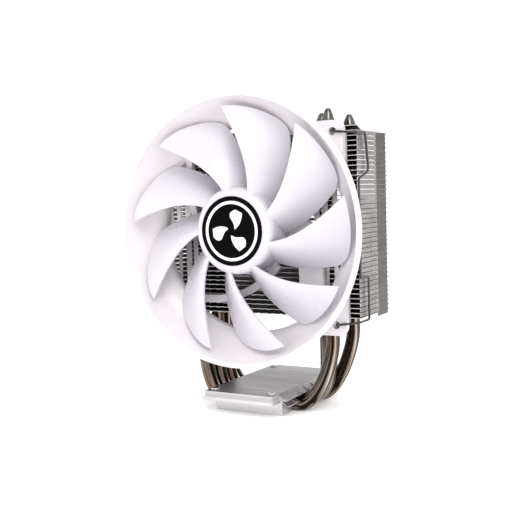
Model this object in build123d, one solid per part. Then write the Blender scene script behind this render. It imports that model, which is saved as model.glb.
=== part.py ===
"""CPU tower cooler: four-heat-pipe fin tower with a clipped 140 mm funnel fan.

Millimetres.  The origin is the centre of the flat face that rests on the processor, +Z is up,
the fan blows along +Y and its intake faces -Y, and the pipes run along X inside the base.
"""
import math
import os

from build123d import *

# ---- base ---------------------------------------------------------------------------------
BASE_W = 43.3            # width of the contact block and plate along X
BLOCK_D = 60.0           # depth of the contact block along Y
BLOCK_H = 9.4            # contact face to plate underside
FLANGE_D = 82.0          # depth of the plate and of the thin block flange
FLANGE_Z = 7.8           # underside of the overhanging flange
PLATE_TOP = 13.0         # top of the retaining plate
SHOULDER_D = 67.0        # depth of the hollow-curved plate sides
SHOULDER_EDGE = 0.4
OVER_PIPES = (5.2, 3.2)  # reach past the block and drop of those sides over the pipes
BESIDE_PIPES = (6.4, 6.2)
DEEP_START = 19.4        # the sides reach lower in front of and behind the pipes
RIB_COUNT = 6            # short ribs down each curved side
RIB_PITCH = 9.6
RIB_H = 0.8
RIB_W = 1.1
SCREW_X = 18.4
SCREW_Y = 35.2
SCREW_H = 0.9

# ---- heat pipes ---------------------------------------------------------------------------
PIPE_R = 4.0
PIPE_Z = 3.7             # pipe axis in the base, so the milled flats sit flush with the face
PIPES = [                # base Y, tower Y, leg X, bend start X, first handle, leg start Z, handle, tip Z
    (-14.0, -7.0, 43.4, 24.5, 12.5, 40.0, 12.0, 170.3),
    (-4.7, -1.0, 36.7, 23.0, 9.0, 25.0, 10.5, 168.4),
    (4.7, 7.4, 35.0, 23.0, 8.0, 25.0, 10.5, 168.9),
    (14.4, 16.4, 46.0, 24.5, 11.0, 44.0, 12.0, 168.3),
]
PIPE_SHOULDER_Z = 160.0  # where the round pipe ends above the top fin
PIPE_NOSE_R = 1.5        # blunt end of each closed tip

# ---- fins ---------------------------------------------------------------------------------
FIN_COUNT = 40
FIN_T = 0.4
FIN_BOTTOM = 54.9
FIN_TOP = 159.5
FIN_W = 129.8            # across the folded side walls
FIN_FRONT = -17.7
FIN_BACK = 28.2
WALL_STEP_Y = 9.4        # the side wall steps in behind this depth
WALL_STEP = 0.7
REAR_WALL_END = 25.4
PIERCE_Y = (-0.2, 4.6)   # two rows of small pierced marks in the side walls
TOP_REAR_HALF = 49.6     # the top fin narrows from full width at the front to this at the rear
TOOTH_PITCH = 4.9
TOOTH_COUNT = 15
TOOTH_DEPTH = 3.4
FIN_PITCH = (FIN_TOP - FIN_BOTTOM - FIN_T) / (FIN_COUNT - 1)
FOLD_H = FIN_PITCH - FIN_T - 0.06
SEAM = 0.3               # open seam below each front side wall
FRONT_FOLDS = [(38.6, 41.8), (43.2, 47.0), (50.2, 52.6), (55.6, 59.0)]

# ---- fan ----------------------------------------------------------------------------------
FAN_BACK = -18.0         # rear plane of the fan frame
FAN_AXIS_Z = 104.0
RIM_R = 76.4
RIM_Y = -24.0            # front lip, measured forward of the rear plane
RIM_MOUTH_R = 73.9
LIP = 1.6                # thickness of the flat front lip
THROAT_R = 58.8
THROAT_OUT_R = 60.6
FRAME_HALF = 58.4
HOLE_XZ = 52.5
HOLE_R = 2.2
TAB_T = 4.0
MOTOR_R = 26.0
STRUT_W = 4.2
WIDE_STRUT_W = 14.6      # the arm that carries the cable channel
WIDE_STRUT_SHIFT = 3.0
STRUT_START = (-47.0, -40.6)
STRUT_RUN_X = -26.0      # end of the straight run, start of the bend
STRUT_BEND_R = 55.0
STRUT_BEND = 50.6        # degrees of bend up to the motor plate
STRUT_FRONT = -3.4
STRUT_REAR = -0.3

# ---- rotor and motor ----------------------------------------------------------------------
BLADES = 9
TIP_ANGLE = 175.2        # leading tip of the first blade, seen from the intake
HUB_R = 24.4
HUB_FLAT_R = 20.0        # flat of the hub face, inside its rounded rim
HUB_FACE = -24.4
HUB_ROUND = 5.0          # depth of that rounding
HUB_REAR = -6.0
CAVITY = -21.0           # front end of the hub's inside
CUP_R = 23.2
LABEL_R = 19.2
BLADE_T = 1.4
BLADE_ROOT_R = 22.4
BLADE_TIP_R = 69.0
BLADE_ROWS = (0.0, 0.12, 0.25, 0.4, 0.55, 0.7, 0.82, 0.92, 1.0)
TAIL_START = 0.88        # where the rounding of the trailing tip starts
BLADE_WRAP = 30.0        # degrees from leading to trailing edge
BLADE_FRONT = -21.1
SHAFT_R = 1.5

# ---- wire clips ---------------------------------------------------------------------------
WIRE_R = 0.65
WIRE_BEND = 1.6
WIRE_SWEEP = 4.0         # wider bend where the wire turns forward
CLIP_X = 66.5

HERE = "parts"


def save(name, shape):
    """Write one named node."""
    shape.label = name
    export_step(shape, os.path.join(HERE, name + ".step"))


def on_fan(shape):
    """Move a shape drawn about the fan axis to its place on the tower."""
    return Pos(0, FAN_BACK, FAN_AXIS_Z) * shape


def turned(points):
    """Solid of revolution about the fan axis from (radius, depth) corners."""
    return revolve(make_face(Polyline(*points, close=True)), Axis.Y)


def sleeve(r_out, r_in, y0, y1):
    """Plain ring about the fan axis."""
    return turned([(r_in, y0), (r_out, y0), (r_out, y1), (r_in, y1)])


def flat(sketch, y0, y1):
    """Plate drawn in the fan's face plane, between two depths."""
    return extrude(Plane.XZ.offset(-y0) * sketch, y0 - y1)


def polar(radius, degrees):
    """Point in the fan's face plane."""
    a = math.radians(degrees)
    return (radius * math.cos(a), radius * math.sin(a))


# ---- base pieces --------------------------------------------------------------------------
def base_block():
    block = Pos(0, 0, BLOCK_H / 2) * Box(BASE_W, BLOCK_D, BLOCK_H)
    block += Pos(0, 0, (FLANGE_Z + BLOCK_H) / 2) * Box(BASE_W, FLANGE_D, BLOCK_H - FLANGE_Z)
    block = chamfer(block.edges().filter_by(Axis.Z), 0.5)
    for base_y, *_ in PIPES:
        block -= Pos(0, base_y, PIPE_Z) * Rot(0, 90, 0) * Cylinder(PIPE_R + 0.02, 2 * BASE_W)
    for x in (-SCREW_X, SCREW_X):
        for y in (-SCREW_Y, SCREW_Y):
            block -= Pos(x, y, BLOCK_H) * Cylinder(1.27, 8)
    return block


def shoulder(reach, drop, depth, raised):
    """Hollow-curved right side of the plate, or a rib on it when raised."""
    half = BASE_W / 2
    root = half - 1.5 * raised
    foot = PLATE_TOP - drop
    curve = Bezier((half + reach, foot + raised), (half + 0.6 * reach, foot + 0.2 + raised),
                   (half + 0.35 * reach, PLATE_TOP - 0.62 * drop + raised), (root, PLATE_TOP))
    heel = BLOCK_H + raised
    tip = half + reach
    under = Polyline((root, PLATE_TOP), (root - 1.0, PLATE_TOP), (root - 1.0, heel), (root, heel),
                     (tip, foot - SHOULDER_EDGE), (tip, foot + raised))
    return extrude(Plane.XZ * make_face([curve, under]), depth / 2, both=True)


def base_plate():
    plate = Pos(0, 0, (BLOCK_H + PLATE_TOP) / 2) * Box(BASE_W, FLANGE_D, PLATE_TOP - BLOCK_H)
    wing = shoulder(*OVER_PIPES, SHOULDER_D, 0.0)
    deep = SHOULDER_D / 2 - DEEP_START
    for side in (-1, 1):
        wing += Pos(0, side * (DEEP_START + deep / 2), 0) * shoulder(*BESIDE_PIPES, deep, 0.0)
    for i in range(RIB_COUNT):
        y = (i - (RIB_COUNT - 1) / 2) * RIB_PITCH
        size = BESIDE_PIPES if abs(y) > DEEP_START else OVER_PIPES
        wing += Pos(0, y, 0) * shoulder(*size, RIB_W, RIB_H)
    plate += wing
    plate += mirror(wing, about=Plane.YZ)
    for groove in (1.0, 2.0):
        for side in (-1, 1):
            plate -= Pos(0, side * FLANGE_D / 2, BLOCK_H + groove) * Box(BASE_W + 1, 0.5, 0.3)
    for x in (-SCREW_X, SCREW_X):
        for y in (-SCREW_Y, SCREW_Y):
            plate -= Pos(x, y, BLOCK_H) * Cylinder(1.7, 12)
    return plate


def base_screw():
    head = Pos(0, 0, PLATE_TOP + SCREW_H / 2) * Cylinder(2.4, SCREW_H)
    head = fillet(head.edges().group_by(Axis.Z)[-1], 0.5)
    head -= Pos(0, 0, PLATE_TOP + SCREW_H) * Box(2.6, 0.6, 1.0)
    head -= Pos(0, 0, PLATE_TOP + SCREW_H) * Box(0.6, 2.6, 1.0)
    shank = Pos(0, 0, (FLANGE_Z + PLATE_TOP) / 2) * Cylinder(1.25, PLATE_TOP - FLANGE_Z)
    return head + shank


# ---- heat pipes ---------------------------------------------------------------------------
def heat_pipe(base_y, tower_y, leg_x, start_x, handle, leg_z, rise, tip_z):
    """One U-shaped pipe: flat-milled run in the base, two bends, two sealed legs."""
    bend = Bezier((start_x, base_y, PIPE_Z), (start_x + handle, base_y, PIPE_Z),
                  (leg_x, tower_y, leg_z - rise), (leg_x, tower_y, leg_z))
    run = Line((0, base_y, PIPE_Z), (start_x, base_y, PIPE_Z))
    leg = Line((leg_x, tower_y, leg_z), (leg_x, tower_y, PIPE_SHOULDER_Z))
    start = Plane(origin=(0, base_y, PIPE_Z), x_dir=(0, 1, 0), z_dir=(1, 0, 0))
    half = sweep(start * Circle(PIPE_R), path=Wire([run, bend, leg]))
    taper = Bezier((PIPE_R, PIPE_SHOULDER_Z), (PIPE_R, PIPE_SHOULDER_Z + 2.6), (2.6, tip_z - 2.4),
                   (PIPE_NOSE_R, tip_z - 0.5))
    foot = Polyline((PIPE_NOSE_R, tip_z - 0.5), (PIPE_NOSE_R - 0.5, tip_z), (0, tip_z), (0, PIPE_SHOULDER_Z),
                    (PIPE_R, PIPE_SHOULDER_Z))
    nozzle = revolve(Plane.XZ * make_face([taper, foot]), Axis.Z)
    half += Pos(leg_x, tower_y, 0) * nozzle
    pipe = half + mirror(half, about=Plane.YZ)
    pipe -= Pos(0, base_y, -2) * Box(2 * start_x + 12, 12, 4)
    return pipe


# ---- fins ---------------------------------------------------------------------------------
def fin_plate(side):
    """Flat fin with saw-toothed front edge and pipe holes; side lists its right-hand corners."""
    reach = TOOTH_PITCH * TOOTH_COUNT / 2
    corners = [(-reach, FIN_FRONT)]
    for i in range(TOOTH_COUNT):
        x = -reach + i * TOOTH_PITCH
        corners.append((x + TOOTH_PITCH * 0.72, FIN_FRONT + TOOTH_DEPTH))
        corners.append((x + TOOTH_PITCH, FIN_FRONT))
    corners += side
    corners += [(-x, y) for x, y in reversed(side)]
    outline = make_face(Polyline(*corners, close=True))
    for _, tower_y, leg_x, *_ in PIPES:
        for x in (-leg_x, leg_x):
            outline -= Pos(x, tower_y) * Circle(PIPE_R + 0.02)
    return extrude(outline, FIN_T)


def folded_fin(walled):
    """Fin with its edges folded down towards the next one; walled fins have front side walls too."""
    half = FIN_W / 2
    rear_half = half - WALL_STEP
    fin = fin_plate([(half, FIN_FRONT), (half, WALL_STEP_Y), (rear_half, WALL_STEP_Y),
                     (rear_half, FIN_BACK - 0.8), (rear_half - 0.8, FIN_BACK)])
    depth = WALL_STEP_Y - 0.3 - (FIN_FRONT + 0.8)
    rear = REAR_WALL_END - WALL_STEP_Y - 0.3
    drop = -FOLD_H / 2 + 0.1
    height = FOLD_H + 0.2
    middle = FIN_FRONT + 0.8 + depth / 2
    wall = Pos(half - FIN_T / 2, middle, drop + SEAM / 2) * Box(FIN_T, depth, height - SEAM)
    for y in PIERCE_Y:
        wall -= Pos(half, y, drop) * Box(3 * FIN_T, 1.2, 0.6)
    folds = Pos(rear_half - FIN_T / 2, WALL_STEP_Y + 0.3 + rear / 2, drop) * Box(FIN_T, rear, height)
    for x0, x1 in FRONT_FOLDS:
        folds += Pos((x0 + x1) / 2, FIN_FRONT + FIN_T / 2, drop) * Box(x1 - x0, FIN_T, height)
    if walled:
        folds += wall
    return fin + folds + mirror(folds, about=Plane.YZ)


def top_fin():
    """Flat top fin, narrowing towards the rear."""
    return fin_plate([(FIN_W / 2, FIN_FRONT), (TOP_REAR_HALF, FIN_BACK - 2.0), (TOP_REAR_HALF - 2.0, FIN_BACK)])


# ---- fan frame ----------------------------------------------------------------------------
def strut(width, offset):
    """Swept arm from the throat in to the motor plate, drawn for the lower left arm."""
    start_x, start_z = STRUT_START
    run = Line((start_x, start_z + offset), (STRUT_RUN_X, start_z + offset))
    bend = JernArc(start=run @ 1, tangent=run % 1, radius=STRUT_BEND_R, arc_size=STRUT_BEND)
    return trace([run, bend], width)


def fan_frame():
    """Funnel mouth, square corner tabs, four swept arms and the motor plate, moulded in one."""
    lip = RIM_Y + LIP
    inner = Spline((RIM_MOUTH_R, RIM_Y), (70.8, -16.5), (65.2, -8.6), (THROAT_R, -2.6),
                   tangents=[(-0.25, 1), (-0.4, 1)])
    wall = Spline((75.3, lip), (72.2, -15.6), (66.5, -7.6), (THROAT_OUT_R, -2.2),
                  tangents=[(-0.3, 1), (-0.5, 1)])
    rear = Polyline((THROAT_R, -2.6), (THROAT_R, 0), (THROAT_OUT_R, 0), (THROAT_OUT_R, -2.2))
    front = Polyline((75.3, lip), (RIM_R, lip), (RIM_R, RIM_Y), (RIM_MOUTH_R, RIM_Y))
    funnel = revolve(make_face([inner, rear, wall, front]), Axis.Y)
    plate = RectangleRounded(2 * FRAME_HALF, 2 * FRAME_HALF, 5.0) - Circle(THROAT_R + 0.4)
    for x in (-HOLE_XZ, HOLE_XZ):
        for z in (-HOLE_XZ, HOLE_XZ):
            plate -= Pos(x, z) * Circle(HOLE_R)
    frame = funnel + flat(plate, -TAB_T, 0)
    opening = flat(Circle(THROAT_R + 1.0), STRUT_FRONT, STRUT_REAR)
    arm = flat(strut(STRUT_W, 0.0), STRUT_FRONT, STRUT_REAR) & opening
    for turn in (0, 180, 270):
        frame += Rot(0, -turn, 0) * arm
    wide_arm = flat(strut(WIDE_STRUT_W, WIDE_STRUT_SHIFT), STRUT_FRONT, STRUT_REAR) & opening
    frame += Rot(0, -90, 0) * wide_arm
    frame += turned([(0, -4.6), (MOTOR_R, -4.6), (MOTOR_R, 0), (20.4, 0), (20.4, -0.3), (0, -0.3)])
    frame += sleeve(5.2, 3.4, -18.2, -4.0)
    frame -= turned([(0, -20), (3.4, -20), (3.4, -1.8), (0, -1.8)])
    frame -= turned([(0, -4), (6.5, -4), (6.5, -0.2), (0, -0.2)]) - sleeve(7.0, 3.4, -4.0, -1.4)
    return frame


# ---- rotor --------------------------------------------------------------------------------
def blade():
    """One sickle blade: its outer edge closes in with the funnel from front to rear."""
    rows = []
    for s in BLADE_ROWS:
        tail = max(0.0, (s - TAIL_START) / (1.0 - TAIL_START))
        outer = BLADE_TIP_R - 6.4 * s ** 2 - 6.0 * tail ** 2
        row = []
        for k in range(9):
            radius = BLADE_ROOT_R + (outer - BLADE_ROOT_R) * k / 8
            inward = (BLADE_TIP_R - radius) / 45.0
            angle = -18.0 * inward - 11.5 * inward ** 2 - BLADE_WRAP * s
            depth = BLADE_FRONT + 26.0 * s ** 2 - 11.6 * s ** 3 - 1.5 * inward
            x, z = polar(radius, angle)
            row.append((x, depth, z))
        rows.append(row)
    return thicken(Face.make_surface_from_array_of_points(rows), BLADE_T / 2, both=True)


def impeller():
    reach = HUB_R - HUB_FLAT_R
    rim = Bezier((HUB_FLAT_R, HUB_FACE), (HUB_FLAT_R + 0.55 * reach, HUB_FACE),
                 (HUB_R, HUB_FACE + 0.45 * HUB_ROUND), (HUB_R, HUB_FACE + HUB_ROUND))
    inside = Polyline((HUB_R, HUB_FACE + HUB_ROUND), (HUB_R, HUB_REAR), (CUP_R, HUB_REAR), (CUP_R, CAVITY),
                      (0, CAVITY), (0, HUB_FACE), (HUB_FLAT_R, HUB_FACE))
    rotor = revolve(make_face([rim, inside]), Axis.Y)
    first = blade()
    for i in range(BLADES):
        turn = TIP_ANGLE - i * 360.0 / BLADES
        rotor += Rot(0, -turn, 0) * first
    rotor -= turned([(0, CAVITY), (CUP_R, CAVITY), (CUP_R, 0), (0, 0)])
    return rotor


def stator_core():
    """Four-pole lamination stack with pole shoes facing the magnet ring."""
    face = Circle(8.0)
    for i in range(4):
        face += Rot(0, 0, 45 + 90 * i) * Pos(10.5, 0) * Rectangle(15.0, 4.4)
    shoes = Circle(19.4) - Circle(17.2)
    for i in range(4):
        shoes -= Rot(0, 0, 90 * i) * Pos(15.0, 0) * Rectangle(14.0, 5.0)
    face = face + shoes - Circle(5.25)
    return flat(face, -17.5, -11.5)


def stator_coils():
    """Four copper windings round the pole arms."""
    outer = Box(7.0, 9.4, 8.8)
    inner = Box(8.0, 6.1, 4.5)
    coil = Pos(12.6, -14.5, 0) * (outer - inner)
    return Compound(children=[Rot(0, 45 + 90 * i, 0) * coil for i in range(4)])


# ---- wire clips ---------------------------------------------------------------------------
def clip():
    """Right-hand spring wire clip: hooked into two tab holes and lying along the fin wall."""
    front = FAN_BACK - TAB_T - 1.1
    z = FAN_AXIS_Z
    points = [
        (HOLE_XZ, front + 3.6, z + HOLE_XZ), (HOLE_XZ, front, z + HOLE_XZ), (CLIP_X, front, z + 51.0),
        (CLIP_X, -10.2, z + 51.6), (CLIP_X, -6.0, z + 31.0), (CLIP_X, -20.0, z + 26.6),
        (CLIP_X, -20.0, z - 26.2), (CLIP_X, -8.8, z - 26.9), (CLIP_X, -8.8, z - 50.4),
        (CLIP_X, front, z - 50.4), (HOLE_XZ, front, z - HOLE_XZ), (HOLE_XZ, front + 3.6, z - HOLE_XZ)]
    bends = [WIRE_BEND] * 3 + [WIRE_SWEEP] + [WIRE_BEND] * 6
    path = FilletPolyline(*points, radius=bends)
    start = Plane(origin=points[0], x_dir=(1, 0, 0), z_dir=(0, -1, 0))
    return sweep(start * Circle(WIRE_R), path=path)


def main():
    os.makedirs(HERE, exist_ok=True)
    save("base_block", base_block())
    save("base_plate", base_plate())
    screws = [Pos(x, y, 0) * base_screw() for x in (-SCREW_X, SCREW_X) for y in (-SCREW_Y, SCREW_Y)]
    save("base_screws", Compound(children=screws))
    for i, dims in enumerate(PIPES):
        save("heat_pipe_" + str(i + 1), heat_pipe(*dims))
    fin = folded_fin(True)
    save("fin_bottom", Pos(0, 0, FIN_BOTTOM) * folded_fin(False))
    pack = [Pos(0, 0, FIN_BOTTOM + FIN_PITCH * i) * fin for i in range(1, FIN_COUNT - 1)]
    save("fin_pack", Compound(children=pack))
    save("fin_top", Pos(0, 0, FIN_TOP - FIN_T) * top_fin())

    save("fan_frame", on_fan(fan_frame()))
    save("impeller", on_fan(impeller()))
    save("hub_label", on_fan(sleeve(LABEL_R, 0, HUB_FACE - 0.3, HUB_FACE)))
    cup = turned([(0, CAVITY), (CUP_R, CAVITY), (CUP_R, -8.0), (CUP_R - 0.8, -8.0), (CUP_R - 0.8, -20.2),
                  (3.4, -20.2), (3.4, -19.0), (0, -19.0)])
    cup -= turned([(0, CAVITY), (SHAFT_R, CAVITY), (SHAFT_R, -18.5), (0, -18.5)])
    save("rotor_yoke", on_fan(cup))
    save("rotor_magnet", on_fan(sleeve(CUP_R - 0.8, 20.2, -19.5, -8.6)))
    shaft = turned([(0, CAVITY), (SHAFT_R, CAVITY), (SHAFT_R, -2.9), (1.0, -2.9), (1.0, -2.4), (SHAFT_R, -2.4),
                    (SHAFT_R, -2.0), (0, -2.0)])
    save("rotor_shaft", on_fan(shaft))
    save("shaft_clip", on_fan(sleeve(2.7, 1.0, -2.85, -2.45)))
    save("bearing_sleeve", on_fan(sleeve(3.4, SHAFT_R + 0.04, -18.2, -3.1)))
    save("stator_core", on_fan(stator_core()))
    save("stator_coils", on_fan(stator_coils()))
    save("motor_board", on_fan(sleeve(17.5, 5.3, -7.6, -6.2)))
    save("motor_label", on_fan(sleeve(20.2, 0, -0.25, -0.05)))
    right = clip()
    save("clip_right", right)
    save("clip_left", mirror(right, about=Plane.YZ))


main()
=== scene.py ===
"""Looks for the CPU tower cooler: materials, printed and pressed details, studio and camera.

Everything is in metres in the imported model's frame: the origin is the centre of the contact face,
+Z is up the tower, and the fan's intake faces -Y.
"""
import math

import bmesh
import bpy
from mathutils import Matrix, Vector


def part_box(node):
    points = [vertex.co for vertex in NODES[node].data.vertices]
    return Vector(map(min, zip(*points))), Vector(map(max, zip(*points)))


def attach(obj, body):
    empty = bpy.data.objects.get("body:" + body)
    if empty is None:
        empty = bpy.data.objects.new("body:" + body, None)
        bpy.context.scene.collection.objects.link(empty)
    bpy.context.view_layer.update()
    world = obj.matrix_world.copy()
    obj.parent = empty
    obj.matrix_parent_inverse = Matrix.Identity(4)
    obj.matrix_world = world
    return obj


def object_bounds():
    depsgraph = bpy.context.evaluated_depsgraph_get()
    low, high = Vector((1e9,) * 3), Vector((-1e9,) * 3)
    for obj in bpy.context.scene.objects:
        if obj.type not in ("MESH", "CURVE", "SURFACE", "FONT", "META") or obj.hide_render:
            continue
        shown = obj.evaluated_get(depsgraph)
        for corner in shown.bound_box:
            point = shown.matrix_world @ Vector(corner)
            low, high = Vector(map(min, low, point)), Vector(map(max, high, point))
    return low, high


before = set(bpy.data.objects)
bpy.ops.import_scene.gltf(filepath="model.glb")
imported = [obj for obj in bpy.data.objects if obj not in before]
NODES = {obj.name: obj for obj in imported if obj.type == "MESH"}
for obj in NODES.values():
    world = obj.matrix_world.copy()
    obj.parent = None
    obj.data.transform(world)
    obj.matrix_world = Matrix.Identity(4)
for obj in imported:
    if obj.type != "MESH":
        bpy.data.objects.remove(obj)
CAD_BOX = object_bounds()

MM = 0.001
FAN_CENTRE = sum(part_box("hub_label"), Vector()) / 2
LABEL_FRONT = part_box("hub_label")[0].y
LABEL_R = (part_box("hub_label")[1].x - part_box("hub_label")[0].x) / 2

# airflow sign on the hub disc: radii as shares of the disc's, angles in radians
SIGN_RING = (0.866, 0.778)
SIGN_VANES = 3
SIGN_TURN = 0.4
VANE_START, VANE_REACH = 0.13, 0.50
VANE_SWEEP, VANE_WIDTH = 0.55, 0.95
SWELL_FROM, SWELL_SPAN, SWELL_POWER = 0.08, 0.82, 0.8
VANE_STEPS = 12
PRINT_SUNK, PRINT_PROUD = 0.02 * MM, 0.04 * MM

# drawn collars of the top fin, round the pipe ends
PIPE_R = 4.0 * MM
TIP_SLICE = 0.3 * MM
COLLAR_H = 0.75 * MM
COLLAR_GAP = 0.05 * MM
COLLAR_WALL_FOOT, COLLAR_WALL_TOP = 0.75 * MM, 0.45 * MM
COLLAR_STEPS = 48

# spans that colour steps are set along: the fins' side walls in Y, where the rear is painted darker
# as painted shade, the pipes' ends in Z
WALL_SHADE_SPAN = (0.0, 20 * MM)
TIP_FADE = (159 * MM, 169 * MM)

# studio and camera
WORLD_STRENGTH = 1.14
FLOOR_SIZE = 6.0
FLOOR_DROP = 0.2 * MM
FLOOR_GLOW = 0.3
LIGHTS_AIM = (0, 0, 0.1)
WHITE = (1.0, 1.0, 1.0, 1.0)
CAMERA_PLACE = (0.248749, -0.453407, 0.123435)
CAMERA_AZIMUTH, CAMERA_ELEVATION, CAMERA_ROLL = 29.693, 3.926, -1.617
CAMERA_LENS, CAMERA_SENSOR = 61.67, 36
CAMERA_NEAR = 10 * MM


# ---- shader graph helper ------------------------------------------------------------------
class Look:
    """A principled material whose inputs are fed by a few procedural layers."""

    def __init__(self, name, **uniform):
        self.material = bpy.data.materials.new(name)
        self.material.use_nodes = True
        self.tree = self.material.node_tree
        self.shader = self.tree.nodes["Principled BSDF"]
        self.coords = self.add("ShaderNodeTexCoord")
        for socket, value in uniform.items():
            self.shader.inputs[socket.replace("_", " ")].default_value = value

    def add(self, kind, **settings):
        """New shader node with the given settings."""
        node = self.tree.nodes.new(kind)
        for key, value in settings.items():
            setattr(node, key, value)
        return node

    def link(self, source, target):
        self.tree.links.new(source, target)

    def spot(self, stretch=(1, 1, 1), source="Object"):
        """Texture coordinate, stretched per axis."""
        mapping = self.add("ShaderNodeMapping")
        mapping.inputs["Scale"].default_value = stretch
        self.link(self.coords.outputs[source], mapping.inputs["Vector"])
        return mapping.outputs["Vector"]

    def noise(self, scale, detail=3.0, stretch=(1, 1, 1), source="Object"):
        """Cloudy noise, 0 to 1. On Object coordinates its scale is in features per metre."""
        node = self.add("ShaderNodeTexNoise")
        node.inputs["Scale"].default_value = scale
        node.inputs["Detail"].default_value = detail
        self.link(self.spot(stretch, source), node.inputs["Vector"])
        return node.outputs["Fac"]

    def ramp(self, factor, stops):
        """Colour ramp from (position, colour or grey) stops."""
        node = self.add("ShaderNodeValToRGB")
        while len(node.color_ramp.elements) < len(stops):
            node.color_ramp.elements.new(0.5)
        for element, (position, value) in zip(node.color_ramp.elements, stops):
            element.position = position
            colour = (value,) * 3 if isinstance(value, (int, float)) else value
            element.color = (*colour, 1.0)
        self.link(factor, node.inputs["Fac"])
        return node.outputs["Color"]

    def mix(self, factor, first, second, mode="MIX"):
        """Blend of two colours by a fixed or a varying factor."""
        node = self.add("ShaderNodeMix", data_type="RGBA", blend_type=mode)
        if isinstance(factor, (int, float)):
            node.inputs[0].default_value = factor
        else:
            self.link(factor, node.inputs[0])
        self.link(first, node.inputs[6])  # the first inputs are the float and vector ones
        self.link(second, node.inputs[7])
        return node.outputs[2]

    def times(self, first, second):
        """Product of two colours."""
        return self.mix(1.0, first, second, "MULTIPLY")

    def facing(self, axis):
        """How squarely a surface faces one axis, 0 to 1, from its own normal."""
        split = self.add("ShaderNodeSeparateXYZ")
        self.link(self.coords.outputs["Normal"], split.inputs[0])
        size = self.add("ShaderNodeMath", operation="ABSOLUTE")
        self.link(split.outputs[axis], size.inputs[0])
        return size.outputs[0]

    def along(self, axis, low, high):
        """Position along one axis, 0 at low and 1 at high, in metres."""
        split = self.add("ShaderNodeSeparateXYZ")
        self.link(self.coords.outputs["Object"], split.inputs[0])
        span = self.add("ShaderNodeMapRange")
        span.inputs["From Min"].default_value = low
        span.inputs["From Max"].default_value = high
        self.link(split.outputs[axis], span.inputs["Value"])
        return span.outputs["Result"]

    def colour(self, output):
        """Feed the base colour."""
        self.link(output, self.shader.inputs["Base Color"])

    def roughness(self, factor, low, high):
        """Let a layer drive the roughness between two values."""
        self.link(self.ramp(factor, [(0.3, low), (0.7, high)]), self.shader.inputs["Roughness"])

    def bump(self, *layers):
        """Stack of bump layers, each (height, depth in metres)."""
        normal = None
        for height, depth in layers:
            node = self.add("ShaderNodeBump")
            node.inputs["Distance"].default_value = depth
            self.link(height, node.inputs["Height"])
            if normal:
                self.link(normal, node.inputs["Normal"])
            normal = node.outputs["Normal"]
        self.link(normal, self.shader.inputs["Normal"])


# ---- materials ----------------------------------------------------------------------------
def plastic(name, cool, warm, low, high, **uniform):
    """Moulded white plastic: faint tint drift, soft sheen changes and a barely uneven skin."""
    look = Look(name, **uniform)
    drift = look.noise(22, 2)
    grain = look.noise(60, 2)
    tint = look.ramp(drift, [(0.35, cool), (0.65, warm)])
    specks = look.ramp(look.noise(900, 3), [(0.3, 0.985), (0.6, 1.0)])
    look.colour(look.times(tint, specks))
    look.roughness(grain, low, high)
    look.bump((look.noise(50, 1), 0.000015), (look.noise(300, 1), 0.0000015))
    return look.material


def fin_sheet(name, flat_dark, flat_light):
    """Rolled fin sheet: edges painted bright as a painted highlight, side walls painted darker at
    the rear as painted shade, flat faces as given.
    """
    look = Look(name, Metallic=0.9)
    grain = look.noise(500, 3, (1, 0.12, 1))
    soft = look.ramp(grain, [(0.3, 0.90), (0.7, 1.0)])
    blotch = look.ramp(look.noise(60, 3), [(0.3, 0.88), (0.7, 1.0)])
    # painted shade: the side walls are painted lighter at the front and much darker towards the
    # rear
    lit_wall = look.ramp(look.noise(240, 2, (1, 0.3, 1)),
                     [(0.3, (0.295, 0.270, 0.268)), (0.7, (0.405, 0.372, 0.370))])
    shaded_wall = look.ramp(look.noise(90, 2),
                    [(0.3, (0.105, 0.094, 0.091)), (0.7, (0.130, 0.118, 0.114))])
    shade_step = look.ramp(look.along(1, *WALL_SHADE_SPAN), [(0.46, 0.0), (0.48, 1.0)])
    wall = look.mix(shade_step, lit_wall, shaded_wall)
    # flat faces take the given colours; the fin pack's are near black, painted shade for the gaps
    # between fins
    inner = look.ramp(look.noise(80, 2), [(0.3, flat_dark), (0.7, flat_light)])
    # painted highlight: faces turned towards Y, the fin edges, are painted much brighter than the
    # walls
    edge_highlight = look.ramp(look.noise(150, 2), [(0.3, (0.62, 0.60, 0.59)), (0.7, (0.80, 0.78, 0.77))])
    body = look.mix(look.ramp(look.facing(0), [(0.6, 0.0), (0.75, 1.0)]), inner, wall)
    body = look.mix(look.ramp(look.facing(1), [(0.5, 0.0), (0.7, 1.0)]), body, edge_highlight)
    look.colour(look.times(look.times(body, soft), blotch))
    look.roughness(look.noise(300, 4, (1, 0.1, 1)), 0.34, 0.5)
    look.bump((grain, 0.000008), (look.noise(120, 2), 0.00001))
    return look.material


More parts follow.
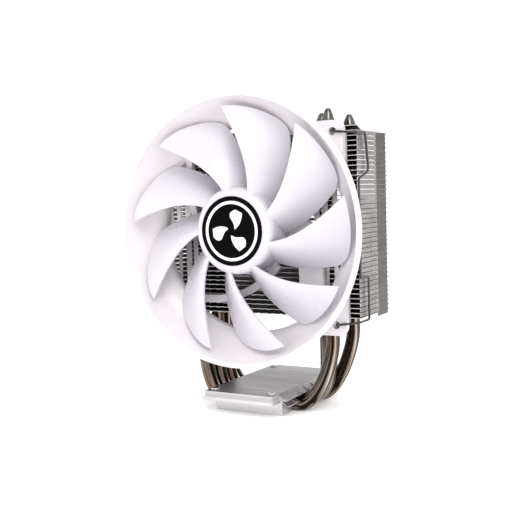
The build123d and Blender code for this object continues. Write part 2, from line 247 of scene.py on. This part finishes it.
def plated_tube(name):
    """Nickel on bent copper tube: painted reflection stripes set by the surface normal, drawing
    lines, warm tarnish and burnt tips.
    """
    look = Look(name, Metallic=1.0)
    # painted reflection: stripes set by the surface normal, black streaks and one bright band,
    # running along the tubes
    reflection_bands = look.ramp(look.noise(1.55, 0.6, (1, 1, 0.3), "Normal"),
                      [(0.34, (0.22, 0.19, 0.165)), (0.39, (0.012, 0.010, 0.009)),
                       (0.42, (0.014, 0.011, 0.010)), (0.455, (0.17, 0.145, 0.125)),
                       (0.54, (0.29, 0.255, 0.225)), (0.575, (0.66, 0.61, 0.57)),
                       (0.605, (0.20, 0.172, 0.15)), (0.69, (0.03, 0.025, 0.022))])
    tarnish = look.ramp(look.noise(34, 4), [(0.35, (0.84, 0.70, 0.60)), (0.6, (1.0, 0.97, 0.94))])
    tube = look.times(reflection_bands, tarnish)
    burnt = look.ramp(look.noise(330, 2, (1, 1, 0.12)),
                      [(0.38, (0.008, 0.009, 0.008)), (0.62, (0.15, 0.155, 0.145))])
    rust = look.ramp(look.noise(150, 3), [(0.35, (0.10, 0.03, 0.018)), (0.65, (0.33, 0.13, 0.08))])
    height = look.along(2, *TIP_FADE)
    tip = look.mix(look.ramp(height, [(0.12, 0.0), (0.3, 1.0)]), rust, burnt)
    look.colour(look.mix(look.ramp(height, [(0.0, 0.0), (0.02, 1.0)]), tube, tip))
    look.roughness(look.noise(180, 3, (1, 1, 0.12)), 0.14, 0.28)
    look.bump((look.noise(500, 2, (1, 1, 0.05)), 0.000003), (look.noise(40, 2), 0.00004))
    return look.material


def base_metal(name, top_dark, top_light, lit_side_dark, lit_side_light, low, high):
    """Machined base: fine tool lines along X; the top painted grey with wide soft stripes as a
    painted reflection, the sides painted lighter as painted light.
    """
    look = Look(name, Metallic=0.85)
    lines = look.noise(700, 4, (0.05, 1, 1))
    # painted reflection: wide soft stripes across the top faces
    top_reflection = look.noise(17, 1.0, (0.3, 1, 1))
    top = look.ramp(top_reflection, [(0.38, top_dark), (0.62, top_light)])
    side = look.ramp(look.noise(60, 2, (0.3, 1, 1)), [(0.3, lit_side_dark), (0.7, lit_side_light)])
    # painted light: faces turned sideways are painted lighter than the top
    body = look.mix(look.ramp(look.facing(2), [(0.55, 0.0), (0.9, 1.0)]), side, top)
    look.colour(look.times(body, look.ramp(lines, [(0.3, 0.93), (0.7, 1.0)])))
    look.roughness(look.noise(260, 3, (0.1, 1, 1)), low, high)
    look.bump((lines, 0.00001), (look.noise(90, 2), 0.00001))
    return look.material


def machined(name, dark, light, low, high, scale, stretch):
    """Cut, drawn or sintered metal with tool lines in one direction."""
    look = Look(name, Metallic=1.0)
    lines = look.noise(scale, 4, stretch)
    cloud = look.ramp(look.noise(38, 3), [(0.3, 0.80), (0.7, 1.0)])
    base = look.ramp(lines, [(0.3, dark), (0.7, light)])
    look.colour(look.times(base, cloud))
    look.roughness(look.noise(260, 3, stretch), low, high)
    look.bump((lines, 0.000015))
    return look.material


def film(name, dark, light, low, high, **uniform):
    """Printed film: even colour with dust-fine variation and a slightly wavy gloss."""
    look = Look(name, **uniform)
    look.colour(look.ramp(look.noise(600, 4), [(0.35, dark), (0.7, light)]))
    look.roughness(look.noise(240, 3), low, high)
    look.bump((look.noise(90, 2), 0.00001), (look.noise(1800, 1), 0.000003))
    return look.material


def windings(name):
    """Enamelled wire laid side by side."""
    look = Look(name, Metallic=0.8)
    wave = look.add("ShaderNodeTexWave", bands_direction="Y")
    wave.inputs["Scale"].default_value = 700
    wave.inputs["Distortion"].default_value = 1.5
    look.link(look.coords.outputs["Object"], wave.inputs["Vector"])
    look.colour(look.ramp(wave.outputs["Fac"],
                          [(0.2, (0.20, 0.07, 0.03)), (0.7, (0.66, 0.30, 0.14))]))
    look.roughness(look.noise(300), 0.25, 0.4)
    look.bump((wave.outputs["Fac"], 0.00006))
    return look.material


LOOKS = {
    "fan_frame": plastic("frame_white", (0.735, 0.698, 0.735), (0.785, 0.742, 0.762), 0.30, 0.40,
                         Coat_Weight=0.12, Coat_Roughness=0.25),
    "impeller": plastic("blade_white", (0.605, 0.580, 0.642), (0.650, 0.618, 0.668), 0.26, 0.34,
                        Coat_Weight=0.2, Coat_Roughness=0.2),
    "hub_label": film("label_black", (0.0012, 0.0012, 0.0015), (0.003, 0.003, 0.0035), 0.32, 0.42,
                      Specular_IOR_Level=0.03),
    "motor_label": film("label_pale", (0.70, 0.70, 0.72), (0.80, 0.80, 0.82), 0.4, 0.5),
    # base sides painted lighter than the tops as painted light; the tops carry painted reflection
    # stripes
    "base_block": base_metal("ground_nickel", (0.30, 0.285, 0.285), (0.40, 0.38, 0.38),
                             (0.56, 0.535, 0.54), (0.69, 0.66, 0.67), 0.3, 0.45),
    "base_plate": base_metal("blasted_plate", (0.245, 0.228, 0.232), (0.375, 0.356, 0.362),
                             (0.47, 0.448, 0.448), (0.60, 0.575, 0.575), 0.32, 0.46),
    "fin_top": fin_sheet("top_aluminium", (0.27, 0.26, 0.255), (0.38, 0.365, 0.36)),
    "base_screws": machined("screw_steel", (0.50, 0.50, 0.51), (0.80, 0.80, 0.80), 0.18, 0.3,
                            900, (1, 1, 1)),
    "clips": machined("wire_steel", (0.055, 0.05, 0.05), (0.12, 0.112, 0.11), 0.28, 0.42,
                      900, (1, 1, 0.1)),
    "rotor_yoke": machined("yoke_steel", (0.35, 0.35, 0.36), (0.55, 0.55, 0.56), 0.3, 0.45,
                           600, (1, 0.1, 1)),
    "rotor_magnet": film("magnet_ferrite", (0.02, 0.02, 0.02), (0.05, 0.047, 0.045), 0.5, 0.7),
    "rotor_shaft": machined("shaft_steel", (0.60, 0.60, 0.61), (0.78, 0.78, 0.79), 0.1, 0.2,
                            1200, (1, 0.1, 1)),
    "shaft_clip": film("clip_nylon", (0.66, 0.64, 0.58), (0.76, 0.74, 0.68), 0.35, 0.5),
    "bearing_sleeve": machined("sintered_bronze", (0.30, 0.19, 0.09), (0.52, 0.36, 0.18),
                               0.35, 0.55, 1500, (1, 1, 1)),
    "stator_core": machined("laminations", (0.12, 0.12, 0.13), (0.30, 0.30, 0.32), 0.35, 0.5,
                            1600, (0.02, 1, 0.02)),
    "stator_coils": windings("copper_windings"),
    "motor_board": film("board_green", (0.02, 0.09, 0.03), (0.03, 0.16, 0.06), 0.25, 0.4),
}
# fin pack flat faces near black: painted shade for the gaps between fins
FINS = fin_sheet("fin_aluminium", (0.055, 0.05, 0.047), (0.10, 0.094, 0.09))
PIPE = plated_tube("nickel_tube")


def dress(node, material):
    """Give a carried node one material."""
    slots = NODES[node].data.materials
    slots.clear()
    slots.append(material)
    NODES[node].data.polygons.foreach_set("material_index", [0] * len(NODES[node].data.polygons))


for node in NODES:
    if node.startswith("heat_pipe"):
        dress(node, PIPE)
    elif node in ("fin_bottom", "fin_pack"):
        dress(node, FINS)
    elif node.startswith("clip_"):
        dress(node, LOOKS["clips"])
    else:
        dress(node, LOOKS[node])


# ---- details ------------------------------------------------------------------------------
def mesh_piece(name, mesh, material, body):
    """Link a finished bmesh as a named piece that rides on a body."""
    data = bpy.data.meshes.new(name)
    bmesh.ops.recalc_face_normals(mesh, faces=mesh.faces)
    mesh.to_mesh(data)
    mesh.free()
    piece = bpy.data.objects.new(name, data)
    bpy.context.scene.collection.objects.link(piece)
    data.materials.append(material)
    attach(piece, body)


def raised_outline(mesh, outline, y_front, y_back):
    """Closed thin slab from a list of (x, z) points, between two depths."""
    front = [mesh.verts.new((x, y_front, z)) for x, z in outline]
    back = [mesh.verts.new((x, y_back, z)) for x, z in outline]
    mesh.faces.new(front)
    mesh.faces.new(back[::-1])
    for i in range(len(outline)):
        j = (i + 1) % len(outline)
        mesh.faces.new((front[i], back[i], back[j], front[j]))


def join_loops(mesh, loops):
    """Closed tube wall from equal loops of vertices, the last joined to the first."""
    steps = len(loops[0])
    for k in range(len(loops)):
        here, there = loops[k], loops[(k + 1) % len(loops)]
        for i in range(steps):
            j = (i + 1) % steps
            mesh.faces.new((here[i], here[j], there[j], there[i]))


def about_fan(radius, angle):
    """Point (x, z) at a radius and an angle about the fan's axis."""
    return FAN_CENTRE.x + radius * math.cos(angle), FAN_CENTRE.z + radius * math.sin(angle)


def raised_ring(mesh, r_out, r_in, y_front, y_back, steps=96):
    """Closed flat ring about the fan's axis."""
    loops = []
    for radius, y in ((r_out, y_front), (r_in, y_front), (r_in, y_back), (r_out, y_back)):
        loop = []
        for i in range(steps):
            x, z = about_fan(radius, 2 * math.pi * i / steps)
            loop.append(mesh.verts.new((x, y, z)))
        loops.append(loop)
    join_loops(mesh, loops)


def hub_print():
    """Plain airflow sign on the hub disc: a thin ring and three curved vanes."""
    ink = film("print_white", (0.80, 0.80, 0.81), (0.86, 0.86, 0.87), 0.25, 0.4)
    y_back = LABEL_FRONT + PRINT_SUNK
    y_front = LABEL_FRONT - PRINT_PROUD
    mesh = bmesh.new()
    raised_ring(mesh, SIGN_RING[0] * LABEL_R, SIGN_RING[1] * LABEL_R, y_front, y_back)
    for k in range(SIGN_VANES):
        turn = 2 * math.pi * k / SIGN_VANES + SIGN_TURN
        lead = []
        trail = []
        for i in range(VANE_STEPS + 1):
            t = i / VANE_STEPS
            radius = (VANE_START + VANE_REACH * t) * LABEL_R
            angle = turn + VANE_SWEEP * t
            swell = math.sin(math.pi * (SWELL_FROM + SWELL_SPAN * t)) ** SWELL_POWER
            lead.append((radius, angle))
            trail.append((radius, angle + VANE_WIDTH * swell))
        outline = [about_fan(radius, angle) for radius, angle in lead + trail[::-1]]
        raised_outline(mesh, outline, y_front, y_back)
    mesh_piece("hub_print", mesh, ink, "rotor")


def fin_collars():
    """Drawn collars of the top fin round the eight pipe ends."""
    mesh = bmesh.new()
    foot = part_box("fin_top")[1].z
    section = ((PIPE_R + COLLAR_WALL_FOOT, foot), (PIPE_R + COLLAR_WALL_TOP, foot + COLLAR_H),
               (PIPE_R + COLLAR_GAP, foot + COLLAR_H), (PIPE_R + COLLAR_GAP, foot))
    for node in sorted(n for n in NODES if n.startswith("heat_pipe")):
        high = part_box(node)[1]
        leg = high.x - PIPE_R
        tip = [v.co.y for v in NODES[node].data.vertices
               if v.co.z > high.z - TIP_SLICE and v.co.x > 0]
        depth = sum(tip) / len(tip)
        for x in (-leg, leg):
            loops = []
            for radius, z in section:
                loop = []
                for i in range(COLLAR_STEPS):
                    a = 2 * math.pi * i / COLLAR_STEPS
                    loop.append(mesh.verts.new((x + radius * math.cos(a),
                                                depth + radius * math.sin(a), z)))
                loops.append(loop)
            join_loops(mesh, loops)
    metal = machined("collar_metal", (0.42, 0.40, 0.39), (0.66, 0.64, 0.62), 0.3, 0.45,
                     700, (1, 1, 0.3))
    mesh_piece("fin_collars", mesh, metal, "tower")


hub_print()
fin_collars()


# ---- studio -------------------------------------------------------------------------------
def area_light(name, place, size, power, tint=(1, 1, 1)):
    """Rectangular soft box aimed at the middle of the cooler."""
    data = bpy.data.lights.new(name, "AREA")
    data.shape = "RECTANGLE"
    data.size, data.size_y = size
    data.energy = power
    data.color = tint
    lamp = bpy.data.objects.new(name, data)
    bpy.context.scene.collection.objects.link(lamp)
    lamp.location = place
    aim = Vector(LIGHTS_AIM) - Vector(place)
    lamp.rotation_euler = aim.to_track_quat("-Z", "Y").to_euler()


def studio():
    """Pale floor, bright plain surround and soft boxes above, in front and beside the cooler."""
    world = bpy.data.worlds.new("surround")
    bpy.context.scene.world = world
    world.use_nodes = True
    background = world.node_tree.nodes["Background"]
    background.inputs["Color"].default_value = WHITE
    background.inputs["Strength"].default_value = WORLD_STRENGTH
    mesh = bmesh.new()
    bmesh.ops.create_grid(mesh, x_segments=2, y_segments=2, size=FLOOR_SIZE)
    data = bpy.data.meshes.new("floor")
    mesh.to_mesh(data)
    mesh.free()
    floor = bpy.data.objects.new("floor", data)
    floor.location.z = CAD_BOX[0][2] - FLOOR_DROP
    bpy.context.scene.collection.objects.link(floor)
    look = Look("floor_pale")
    look.colour(look.ramp(look.noise(3, 2), [(0.3, 0.90), (0.7, 0.93)]))
    look.roughness(look.noise(8, 2), 0.8, 0.9)
    look.shader.inputs["Emission Color"].default_value = WHITE
    look.shader.inputs["Emission Strength"].default_value = FLOOR_GLOW
    data.materials.append(look.material)
    area_light("key", (0.55, -0.75, 1.0), (0.6, 0.6), 6.5, (1.0, 0.985, 0.975))
    area_light("top", (-0.1, 0.15, 1.1), (0.9, 0.7), 1.2)
    area_light("fill", (-0.9, -0.5, 0.4), (0.6, 0.8), 0.5, (0.95, 0.96, 1.0))


def camera():
    """Camera at the front right, a little above the fan's axis."""
    azimuth = math.radians(CAMERA_AZIMUTH)
    elevation = math.radians(CAMERA_ELEVATION)
    roll = math.radians(CAMERA_ROLL)
    back = Vector((math.sin(azimuth) * math.cos(elevation),
                   -math.cos(azimuth) * math.cos(elevation), math.sin(elevation)))
    side = Vector((math.cos(azimuth), math.sin(azimuth), 0))
    up = back.cross(side)
    right = side * math.cos(roll) + up * math.sin(roll)
    top = up * math.cos(roll) - side * math.sin(roll)
    data = bpy.data.cameras.new("camera")
    data.lens = CAMERA_LENS
    data.sensor_width = CAMERA_SENSOR
    data.clip_start = CAMERA_NEAR
    eye = bpy.data.objects.new("camera", data)
    turn = Matrix((right, top, back)).transposed().to_4x4()
    eye.matrix_world = Matrix.Translation(CAMERA_PLACE) @ turn
    bpy.context.scene.collection.objects.link(eye)
    bpy.context.scene.camera = eye


studio()
camera()
bpy.context.scene.view_settings.view_transform = "Standard"
